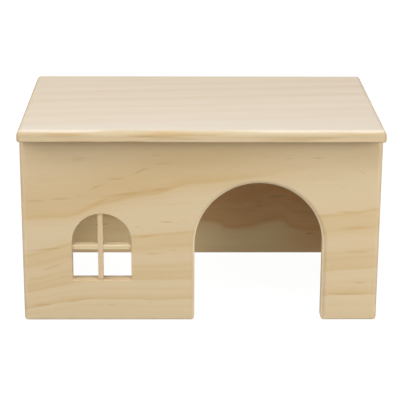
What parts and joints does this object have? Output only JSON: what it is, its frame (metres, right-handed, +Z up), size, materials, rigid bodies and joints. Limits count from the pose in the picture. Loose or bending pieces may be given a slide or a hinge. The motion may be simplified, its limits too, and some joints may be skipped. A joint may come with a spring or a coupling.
{
  "type": "hamster house",
  "caption": "Wooden hamster house with no floor: flat roof overhanging the front, arched doorway, and a small arched window divided by a cross of bars.",
  "frame": {"origin": "middle of the footprint, on the floor that the walls stand on", "axes": "+X to the right as one faces the front, along the width; the front faces -Y; +Z up"},
  "size_m": [0.2104, 0.1366, 0.12],
  "materials": {
    "pine_front": "sanded, uncoated",
    "pine_back": "sanded, uncoated",
    "pine_side": "sanded, uncoated",
    "pine_roof": "sanded, uncoated",
    "window_bar": "sanded, uncoated",
    "dowel": "uncoated"
  },
  "bodies": {
    "root": {"front_wall": "pine_front", "back_wall": "pine_back", "left_wall": "pine_side", "right_wall": "pine_side", "roof": "pine_roof", "window_upright": "window_bar", "window_crossbar": "window_bar", "front_left_dowels": "dowel", "front_right_dowels": "dowel", "back_left_dowels": "dowel", "back_right_dowels": "dowel", "roof_front_dowels": "dowel", "roof_back_dowels": "dowel", "roof_left_dowels": "dowel", "roof_right_dowels": "dowel"}
  },
  "joints": []
}
